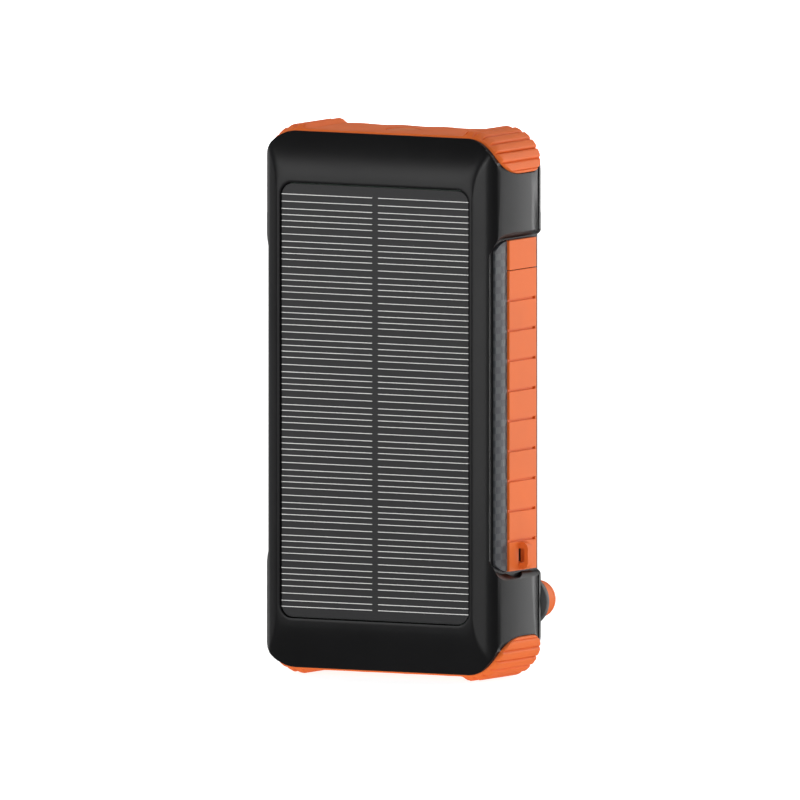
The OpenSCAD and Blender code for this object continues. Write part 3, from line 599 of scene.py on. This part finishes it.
def rib_height(s):
    """How far the bumper stands out of the case outline, before its ends fade."""
    rib_pitch = CASE_CORNER * RIB_STEP
    along = (abs(s) - ARC_X) / rib_pitch
    index = round(along)
    wave = WAVE_H * (1 - math.cos(abs(s) * 2 * math.pi / WAVE_L))
    if index < 0 or along < -0.5:
        flank = smooth((abs(s) - (ARC_X - 3.2)) / 1.9)
        return BAND + wave * (1 - flank) + (RIB_TOP - BAND) * flank
    if index >= RIB_COUNT:
        return TONGUE_OUT
    peak = BAND + (RIB_TOP - BAND) * math.cos(index * RIB_STEP) ** 1.2
    crease = abs(2 * (along - index)) ** RIB_ROUND
    lean = RIB_LEAN * (along - index) * (peak - BAND) / RIB_TOP
    return peak - lean - (CREASE_LOW + CREASE_MORE * peak / RIB_TOP) * crease


def tongue_limits(z):
    """Front and back edges of the bumper at a height on the side."""
    fy, fz = TONGUE_FRONT
    by, bz = TONGUE_BACK
    front, back = BUMPER_FRONT, BUMPER_BACK
    if z < TONGUE_Z + fz:
        front += fy * (1 - math.sqrt(max(0, 1 - ((TONGUE_Z + fz - z) / fz) ** 2)))
    if z < TONGUE_Z + bz:
        back -= by * (1 - math.sqrt(max(0, 1 - ((TONGUE_Z + bz - z) / bz) ** 2)))
    return front, back


def bumper(name, upside_down):
    """One bumper as a skin over a strip of the outline, closed by an inner skin."""
    bend = ARC_X - PATH_BEND
    path = [-bend + i * 2 * bend / 30 for i in range(31)]
    fine = [bend + PATH_STEP * i for i in range(1, int((HALF_PATH - bend) / PATH_STEP))]
    tip = [HALF_PATH - 0.12, HALF_PATH - 0.04, HALF_PATH]
    fine = [s for s in fine if s < HALF_PATH - PATH_STEP] + tip
    path = [-s for s in reversed(fine)] + path + fine
    shares = [0, 0.004, 0.012, 0.025, 0.045] + [0.07 + 0.86 * i / 18 for i in range(19)]
    shares += [0.955, 0.975, 0.988, 0.996, 1]
    bm = bmesh.new()
    outer, inner = [], []
    for s in path:
        x, z, nx, nz = on_outline(s)
        front, back = tongue_limits(z)
        width = back - front
        tall = rib_height(s)
        outer_row, inner_row = [], []
        for share in shares:
            y = front + width * share
            fade = smooth((y - BUMPER_FRONT - 0.2) / 2.6) * smooth((BUMPER_BACK - y) / 0.9)
            out = min(tall, BAND) + max(0.0, tall - BAND) * fade
            reach = min(share * width, (1 - share) * width, HALF_PATH - abs(s))
            roll = min(1.0, reach / ROLL_R)
            out = (out + TUCK) * math.sqrt(max(0.0, 1 - (1 - roll) ** 2)) - TUCK
            outer_row.append(bm.verts.new(Vector((x + nx * out, y, z + nz * out)) * MM))
            inner_row.append(bm.verts.new(Vector((x - nx * RUBBER_T, y, z - nz * RUBBER_T)) * MM))
        outer.append(outer_row)
        inner.append(inner_row)
    rows, cols = len(path), len(shares)
    for i in range(rows - 1):
        for j in range(cols - 1):
            bm.faces.new((outer[i][j], outer[i + 1][j], outer[i + 1][j + 1], outer[i][j + 1]))
            bm.faces.new((inner[i][j], inner[i][j + 1], inner[i + 1][j + 1], inner[i + 1][j]))
    for i in range(rows - 1):
        for j in (0, cols - 1):
            bm.faces.new((outer[i][j], outer[i + 1][j], inner[i + 1][j], inner[i][j]))
    for i in (0, rows - 1):
        for j in range(cols - 1):
            bm.faces.new((outer[i][j], outer[i][j + 1], inner[i][j + 1], inner[i][j]))
    if upside_down:
        bmesh.ops.transform(bm, verts=bm.verts, matrix=Matrix.Translation((0, 0, 2 * MID_Z * MM))
                            @ Matrix.Diagonal((1, 1, -1, 1)))
    return make_piece(name, bm)


orange_rubber = moulded("orange_rubber", "e36b2b", 0.55, grain=2200, grain_depth=0.012, drift=0.05)
orange_rubber.node_tree.nodes["Principled BSDF"].inputs["Specular IOR Level"].default_value = 0.2
top_bumper = bumper("top_bumper_rubber", False)
carve(top_bumper, [prism("well", torch_well, "Z", WELL_Z0, ABOVE)])
shade_smooth(top_bumper, 50)
finish(top_bumper, orange_rubber, "case", "orange_rubber", "top_bumper")
bottom_bumper = bumper("bottom_bumper_rubber", True)
shade_smooth(bottom_bumper, 50)
finish(bottom_bumper, orange_rubber, "case", "orange_rubber", "bottom_bumper")

# ---------------------------------------------------------------------------
# Side strips: soft orange rubber, scored across so that it bends. The port
# side's strip is the cover of the sockets, held by its top segment and pulled
# open by a moulded loop. The button side's strip is glued down.
# ---------------------------------------------------------------------------
GROOVE_W = 0.75
GROOVE_DEEP = 0.5
GROOVE_STOP = 0.7
STRIP_GAP = 0.2
HINGE_HALF = 0.12
STRIP_EDGE = 0.14
PIT_W = 0.9
PIT_DEEP = 0.95


def strip_block(name, z0, z1):
    front, back = STRIP_FRONT + STRIP_GAP, STRIP_FRONT + STRIP_W
    outline = [(front, z0), (back, z0), (back, z1), (front, z1)]
    return prism(name, outline, "X", FLOOR_X, STRIP_FACE)


def score(strip, indices):
    """Bending grooves from the front edge to just short of the back edge."""
    for i in indices:
        z = STRIP_Z0 + i * PITCH
        back = STRIP_FRONT + STRIP_W - GROOVE_STOP
        groove = prism("groove", [(STRIP_FRONT - 1, z - GROOVE_W / 2), (back, z - GROOVE_W / 2),
                                  (back, z + GROOVE_W / 2), (STRIP_FRONT - 1, z + GROOVE_W / 2)],
                       "X", STRIP_FACE - GROOVE_DEEP, OUTSIDE)
        pit = prism("pit", [(back - PIT_W, z - PIT_W / 2), (back, z - PIT_W / 2),
                            (back, z + PIT_W / 2), (back - PIT_W, z + PIT_W / 2)],
                    "X", STRIP_FACE - PIT_DEEP, OUTSIDE)
        carve(strip, [groove, pit])


anchor = strip_block("port_cover_fixed_end", STRIP_Z1 - PITCH + HINGE_HALF, STRIP_Z1)
soften(anchor, STRIP_EDGE, flat=True)
finish(anchor, orange_rubber, "case", "orange_rubber", "port_cover_anchor")

port_cover = strip_block("port_cover_strip", STRIP_Z0, STRIP_Z1 - PITCH - HINGE_HALF)
score(port_cover, range(1, SEGMENTS - 1))
LOOP_OUT = 2.95
LOOP_H = 8.0
LOOP_T = 2.8
LOOP_RX = 1.9
LOOP_RZ = 2.1
LOOP_SUNK = 0.3
loop_x = STRIP_FACE + LOOP_OUT - LOOP_RX
loop_z0 = STRIP_Z0 + 0.35
loop_z1 = loop_z0 + LOOP_H
loop_z = (loop_z0 + loop_z1) / 2
loop_outline = [(STRIP_FACE - LOOP_SUNK, loop_z0), (STRIP_FACE + 0.6, loop_z0)]
loop_outline += arc(loop_x, loop_z0 + LOOP_RZ, LOOP_RX, LOOP_RZ, 270, 360, 8)
loop_outline += arc(loop_x, loop_z1 - LOOP_RZ, LOOP_RX, LOOP_RZ, 0, 90, 8)
loop_outline += [(STRIP_FACE - LOOP_SUNK, loop_z1)]
pull_loop = prism("pull_loop", loop_outline, "Y", LOOP_Y - LOOP_T / 2, LOOP_Y + LOOP_T / 2)
eye_low, eye_high = FLOOR_X - 0.1, STRIP_FACE + 1.7
eye = [(x + (eye_low + eye_high) / 2, z + loop_z)
       for x, z in round_rect((eye_high - eye_low) / 2, 2.1, 0.6, 5)]
carve(port_cover, [pull_loop], "UNION")
carve(port_cover, [prism("eye", eye, "Y", LOOP_Y - LOOP_T / 2 - 0.3, LOOP_Y + LOOP_T / 2 + 0.3)])
soften(port_cover, STRIP_EDGE, flat=True)
finish(port_cover, orange_rubber, "flap", "orange_rubber", "port_cover")

left_strip = strip_block("button_side_strip", STRIP_Z0, STRIP_Z1)
score(left_strip, range(1, SEGMENTS))
holes = [disc_x("hole", MID_STRIP_Y, BUTTON_Z, BUTTON_R, INSIDE, OUTSIDE)]
holes += [disc_x("hole", MID_STRIP_Y, z, LED_R, INSIDE, OUTSIDE) for z in LEDS_Z]
carve(left_strip, holes)
on_side(left_strip, -1)
soften(left_strip, STRIP_EDGE, flat=True)
finish(left_strip, orange_rubber, "case", "orange_rubber", "left_trim_strip")

# ---------------------------------------------------------------------------
# Grip inlays: chequered two-tone film in the front of each side recess, its
# raised squares drawn flat as checks in rows, with a thin shadow gap round the edge.
# ---------------------------------------------------------------------------
FILM_INSET = 0.75
FILM_GAP = 0.18
FILM_DEEP = 0.48
CHECK_Y = 3.04
CHECK_Z = 1.974
CHECK_START = (-10.44, 73.75)


def chequered(name):
    """Two greys in squares, with a faint diagonal thread pressed in."""
    made, tree, shader = new_material(name)
    place = tree.nodes.new("ShaderNodeTexCoord")
    centre = tree.nodes.new("ShaderNodeMapping")
    centre.inputs["Scale"].default_value = (0, 1 / (CHECK_Y * MM), 1 / (CHECK_Z * MM))
    centre.inputs["Location"].default_value = (
        0.5, -CHECK_START[0] / CHECK_Y, -CHECK_START[1] / CHECK_Z)
    checks = tree.nodes.new("ShaderNodeTexChecker")
    checks.inputs["Scale"].default_value = 1
    checks.inputs["Color1"].default_value = tone("44464a")
    checks.inputs["Color2"].default_value = tone("545659")
    threads = tree.nodes.new("ShaderNodeTexWave")
    threads.inputs["Scale"].default_value = 2.5
    threads.bands_direction = "DIAGONAL"
    bump = tree.nodes.new("ShaderNodeBump")
    bump.inputs["Distance"].default_value = 0.03 * MM
    tree.links.new(place.outputs["Object"], centre.inputs["Vector"])
    tree.links.new(centre.outputs["Vector"], checks.inputs["Vector"])
    tree.links.new(centre.outputs["Vector"], threads.inputs["Vector"])
    tree.links.new(checks.outputs["Color"], shader.inputs["Base Color"])
    tree.links.new(threads.outputs["Fac"], bump.inputs["Height"])
    tree.links.new(bump.outputs["Normal"], shader.inputs["Normal"])
    shader.inputs["Roughness"].default_value = 0.42
    return made


grip_film = chequered("grip_film")
for side, name, node in ((1, "right_grip_film", "right_grip_inlay"),
                         (-1, "left_grip_film", "left_grip_inlay")):
    film = prism(name, recess_outline(-FILM_INSET), "X", FLOOR_X - FILM_DEEP, INLAY_TOP)
    carve(film, [inlay_limit(FILM_GAP)], "INTERSECT")
    on_side(film, side)
    soften(film, 0.1)
    finish(film, grip_film, "case", "grip_grey", node)

# ---------------------------------------------------------------------------
# Solar panel: dark silicon strips on a black board under a clear satin sheet,
# crossed by thin silver contact lines that break at the middle.
# ---------------------------------------------------------------------------
LINE_COUNT = 64
LINE_T = 0.19
LINE_REACH = WINDOW[0] - 0.35
LINE_GAP = 1.0
FIRST_LINE = MID_Z + 60.98
GROUP_PITCH = 9.671
LINE_PITCH = 1.78
WIDER = 0.39


def contact_lines_tree(material):
    """Bars set out downwards in groups of five, the first two set wider."""
    group = bpy.data.node_groups.new("contact_lines", "GeometryNodeTree")
    face = group.interface
    face.new_socket("Geometry", in_out="OUTPUT", socket_type="NodeSocketGeometry")
    for label in ("Top", "Depth", "Group Pitch", "Line Pitch", "Wider", "Reach", "Gap", "Thick"):
        face.new_socket(label, in_out="INPUT", socket_type="NodeSocketFloat")
    make = group.nodes.new
    link = group.links.new
    given = make("NodeGroupInput")
    out = make("NodeGroupOutput")

    def calc(operation, first, second=None):
        node = make("ShaderNodeMath")
        node.operation = operation
        for socket, value in zip(node.inputs, (first, second)):
            if hasattr(value, "is_output"):
                link(value, socket)
            elif value is not None:
                socket.default_value = value
        return node.outputs[0]

    points = make("GeometryNodeMeshLine")
    points.inputs["Count"].default_value = LINE_COUNT
    index = make("GeometryNodeInputIndex").outputs[0]
    in_group = calc("MODULO", index, 5.0)
    which = calc("FLOOR", calc("DIVIDE", index, 5.0))
    drop = calc("MULTIPLY", which, given.outputs["Group Pitch"])
    drop = calc("ADD", drop, calc("MULTIPLY", in_group, given.outputs["Line Pitch"]))
    drop = calc("ADD", drop, calc("MULTIPLY", calc("MINIMUM", in_group, 2.0), given.outputs["Wider"]))
    where = make("ShaderNodeCombineXYZ")
    link(given.outputs["Depth"], where.inputs["Y"])
    link(calc("SUBTRACT", given.outputs["Top"], drop), where.inputs["Z"])
    place = make("GeometryNodeSetPosition")
    link(points.outputs["Mesh"], place.inputs["Geometry"])
    link(where.outputs[0], place.inputs["Position"])
    length = calc("SUBTRACT", given.outputs["Reach"], given.outputs["Gap"])
    centre = calc("ADD", given.outputs["Gap"], calc("MULTIPLY", length, 0.5))
    size = make("ShaderNodeCombineXYZ")
    link(length, size.inputs["X"])
    size.inputs["Y"].default_value = 0.06 * MM
    link(given.outputs["Thick"], size.inputs["Z"])
    bars = make("GeometryNodeJoinGeometry")
    for sign in (1.0, -1.0):
        bar = make("GeometryNodeMeshCube")
        link(size.outputs[0], bar.inputs["Size"])
        offset = make("ShaderNodeCombineXYZ")
        link(calc("MULTIPLY", centre, sign), offset.inputs["X"])
        moved = make("GeometryNodeTransform")
        link(bar.outputs["Mesh"], moved.inputs["Geometry"])
        link(offset.outputs[0], moved.inputs["Translation"])
        link(moved.outputs["Geometry"], bars.inputs[0])
    copies = make("GeometryNodeInstanceOnPoints")
    link(place.outputs["Geometry"], copies.inputs["Points"])
    link(bars.outputs[0], copies.inputs["Instance"])
    real = make("GeometryNodeRealizeInstances")
    link(copies.outputs[0], real.inputs[0])
    paint = make("GeometryNodeSetMaterial")
    paint.inputs["Material"].default_value = material
    link(real.outputs[0], paint.inputs["Geometry"])
    link(paint.outputs[0], out.inputs[0])
    return group


def grown_from(name, group, values):
    """A plain mesh from a node tree, with its inputs set by identifier."""
    made = bpy.data.objects.new(name, bpy.data.meshes.new(name))
    bpy.context.scene.collection.objects.link(made)
    step = made.modifiers.new("build", "NODES")
    step.node_group = group
    for item in group.interface.items_tree:
        if item.in_out == "INPUT" and item.name in values:
            step[item.identifier] = values[item.name]
    settle(made)
    return made


silver_print = moulded("silver_print", "e2e2e0", 0.45, grain=3000, grain_depth=0.004, drift=0.04)
sheet_front = -CASE_HALF_D + 0.5
contact_lines = grown_from("solar_contact_lines", contact_lines_tree(silver_print), {
    "Top": FIRST_LINE * MM, "Depth": (sheet_front + 0.02) * MM, "Group Pitch": GROUP_PITCH * MM,
    "Line Pitch": LINE_PITCH * MM, "Wider": WIDER * MM, "Reach": LINE_REACH * MM,
    "Gap": LINE_GAP * MM, "Thick": LINE_T * MM})
finish(contact_lines, silver_print, "case", "solar_silicon")

panel_face = loft("solar_panel_face", [
    ring(WINDOW[0] - 0.3, WINDOW[1] - 0.3, WINDOW[2] - 0.3, sheet_front + 0.6),
    ring(WINDOW[0] - 0.3, WINDOW[1] - 0.3, WINDOW[2] - 0.3, sheet_front + 0.08),
    ring(WINDOW[0] - 0.38, WINDOW[1] - 0.38, WINDOW[2] - 0.38, sheet_front),
])
shade_smooth(panel_face)
panel_coat = moulded("panel_coat", "2a2a2b", 0.4, grain=900, grain_depth=0.006, drift=0.06)
panel_coat.node_tree.nodes["Principled BSDF"].inputs["Specular IOR Level"].default_value = 0.2
finish(panel_face, panel_coat, "case", "panel_sheet", "panel_sheet")

# ---------------------------------------------------------------------------
# Crank: a dark stamped arm screwed to the shaft, and an orange knob that
# spins on a pin at the arm's round end.
# ---------------------------------------------------------------------------
ARM_Y0 = 16.5
ARM_T = 2.0
CRANK_L = 45.8
KNOB_X = CRANK_L * math.cos(math.radians(45))
KNOB_Z = HUB_Z - CRANK_L * math.sin(math.radians(45))
HUB_R = 9.0
END_R = 7.7
BAR_HALF = 5.5
KNOB_R = 5.5
KNOB_L = 7.8


def lathe_y(name, x, z, profile, steps=64):
    """A turned piece on an axis along Y, from (radius, y) points."""
    bm = bmesh.new()
    rows = []
    for r, y in profile:
        rows.append([bm.verts.new(Vector((x + r * math.cos(2 * math.pi * i / steps), y,
                                          z + r * math.sin(2 * math.pi * i / steps))) * MM)
                     for i in range(steps)])
    for low, high in zip(rows, rows[1:]):
        for i in range(steps):
            j = (i + 1) % steps
            bm.faces.new((low[i], low[j], high[j], high[i]))
    bm.faces.new(rows[0][::-1])
    bm.faces.new(rows[-1])
    return make_piece(name, bm)


def arm_outline(hub_r, end_r, half):
    """Two round ends joined by a straight bar, drawn along the arm."""
    hub_open = math.degrees(math.asin(half / hub_r))
    end_open = math.degrees(math.asin(half / end_r))
    points = arc(0, 0, hub_r, hub_r, hub_open, 360 - hub_open, 40)
    points += arc(CRANK_L, 0, end_r, end_r, 180 + end_open, 540 - end_open, 32)
    turn = math.radians(-45)
    return [(a * math.cos(turn) - b * math.sin(turn),
             HUB_Z + a * math.sin(turn) + b * math.cos(turn)) for a, b in points]


crank_arm = prism("crank_arm_stamping", arm_outline(HUB_R, END_R, BAR_HALF), "Y",
                  ARM_Y0, ARM_Y0 + ARM_T)
groove = [(a * 0.7071 + b * 0.7071, HUB_Z - a * 0.7071 + b * 0.7071)
          for a, b in [(x + 22.5, y) for x, y in round_rect(11, 2.6, 2.5, 8)]]
carve(crank_arm, [prism("pressing", groove, "Y", ARM_Y0 + ARM_T - 0.5, 30),
                  disc_y("shaft_hole", 0, HUB_Z, 2.52, 10, 30)])
soften(crank_arm, 0.3)
arm_paint = moulded("arm_paint", "4a4a4b", 0.48, grain=1500, grain_depth=0.015, drift=0.08)
finish(crank_arm, arm_paint, "crank", "arm_grey", "crank_arm")

knob_y0 = ARM_Y0 + ARM_T + 0.2
knob_y1 = knob_y0 + KNOB_L - 1.4
knob_profile = [(1.75, knob_y0), (KNOB_R - 0.5, knob_y0), (KNOB_R - 0.15, knob_y0 + 0.15),
                (KNOB_R, knob_y0 + 0.5), (KNOB_R, knob_y0 + 1.6), (KNOB_R - 0.3, knob_y0 + 1.9),
                (KNOB_R - 0.3, knob_y0 + 2.5), (KNOB_R, knob_y0 + 2.8), (KNOB_R, knob_y1 - 0.05),
                (KNOB_R - 0.2, knob_y1), (3.0, knob_y1), (3.0, knob_y1 - 1.8), (1.75, knob_y1 - 1.8)]
knob = lathe_y("crank_knob_grip", KNOB_X, KNOB_Z, knob_profile + [(1.75, knob_y0 + 0.01)])
shade_smooth(knob)
finish(knob, orange_rubber, "knob", "orange_rubber", "crank_knob")
cap_profile = [(KNOB_R - 0.2, knob_y1 + 0.03), (KNOB_R, knob_y1 + 0.2), (KNOB_R, knob_y1 + 0.9),
               (KNOB_R - 0.12, knob_y1 + 1.2), (KNOB_R - 0.45, knob_y1 + 1.38),
               (3.9, knob_y1 + 1.4), (3.6, knob_y1 + 1.1), (0.6, knob_y1 + 1.05)]
knob_cap = lathe_y("crank_knob_cap", KNOB_X, KNOB_Z, cap_profile)
shade_smooth(knob_cap)
finish(knob_cap, orange_rubber, "knob", "orange_rubber", "knob_cap")

# ---------------------------------------------------------------------------
# Torch lens: a frosted amber disc of clear plastic, pressed into a well in the
# top of the case, with its face flush with the band of the bumper.
# ---------------------------------------------------------------------------
def clear(name, colour, rough, alpha):
    made = moulded(name, colour, rough, grain=800, grain_depth=0.004, drift=0.02)
    shader = made.node_tree.nodes["Principled BSDF"]
    shader.inputs["Alpha"].default_value = alpha
    shader.inputs["IOR"].default_value = 1.5
    return made


lens_material = clear("torch_lens_amber", "ea7a38", 0.4, 0.93)
LENS_R = 5.0
LENS_T = 1.7
LENS_TOP = MID_Z + CASE_HALF_H + BAND
lens_outline = arc(0, TORCH_Y, LENS_R, LENS_R, 0, 352.5, 47)
torch_lens = prism("torch_lens_disc", lens_outline, "Z", LENS_TOP - LENS_T, LENS_TOP)
soften(torch_lens, 0.12)
finish(torch_lens, lens_material, "case", "clear_plastic", "torch_lens")

# ---------------------------------------------------------------------------
# Everything else keeps its CAD shape. Each material slot has its own finish:
# plated steel, bronze, nylon, foil, circuit board, rubber and clear plastic.
# ---------------------------------------------------------------------------
def metal(name, colour, rough, streak=600):
    """Rolled or turned metal: fully metallic, with a fine even grain."""
    made = moulded(name, colour, rough, grain=streak, grain_depth=0.01, drift=0.1)
    made.node_tree.nodes["Principled BSDF"].inputs["Metallic"].default_value = 1.0
    return made


finishes = {
    "black_shell": black_abs,
    "orange_rubber": orange_rubber,
    "grip_grey": grip_film,
    "panel_sheet": panel_coat,
    "solar_silicon": moulded("silicon", "2c2c30", 0.3, grain=400, grain_depth=0.005),
    "circuit_board": moulded("solder_mask", "17402a", 0.35, grain=500, grain_depth=0.01),
    "foam_tape": moulded("foam", "1c1c1e", 0.85, grain=1600, grain_depth=0.05),
    "pouch_foil": metal("pouch_foil", "b9bcc2", 0.38, 120),
    "socket_steel": metal("socket_steel", "b8b8ba", 0.28),
    "chip_black": moulded("chip_black", "202022", 0.5),
    "zinc_steel": metal("zinc_steel", "a4a6aa", 0.34),
    "brass_bush": metal("bronze", "b5904a", 0.4),
    "gear_nylon": moulded("gear_nylon", "ddd8c6", 0.45, grain=700, grain_depth=0.01),
    "magnet_black": moulded("ferrite", "2a2a2c", 0.55),
    "arm_grey": arm_paint,
    "clear_plastic": clear("clear_plastic", "e4eaee", 0.12, 0.45),
    "reflector_chrome": metal("reflector_chrome", "d4d4d8", 0.08, 200),
    "led_white": moulded("led_white", "efe9b4", 0.3),
    "wire_red": moulded("wire_red", "a02020", 0.45),
    "wire_blue": moulded("wire_blue", "2c48a0", 0.45),
}
for row in frame["record"]["subparts"]:
    node = frame["nodes"][row["node"]]
    node.data.materials.clear()
    node.data.materials.append(finishes[row["material_slot"]])
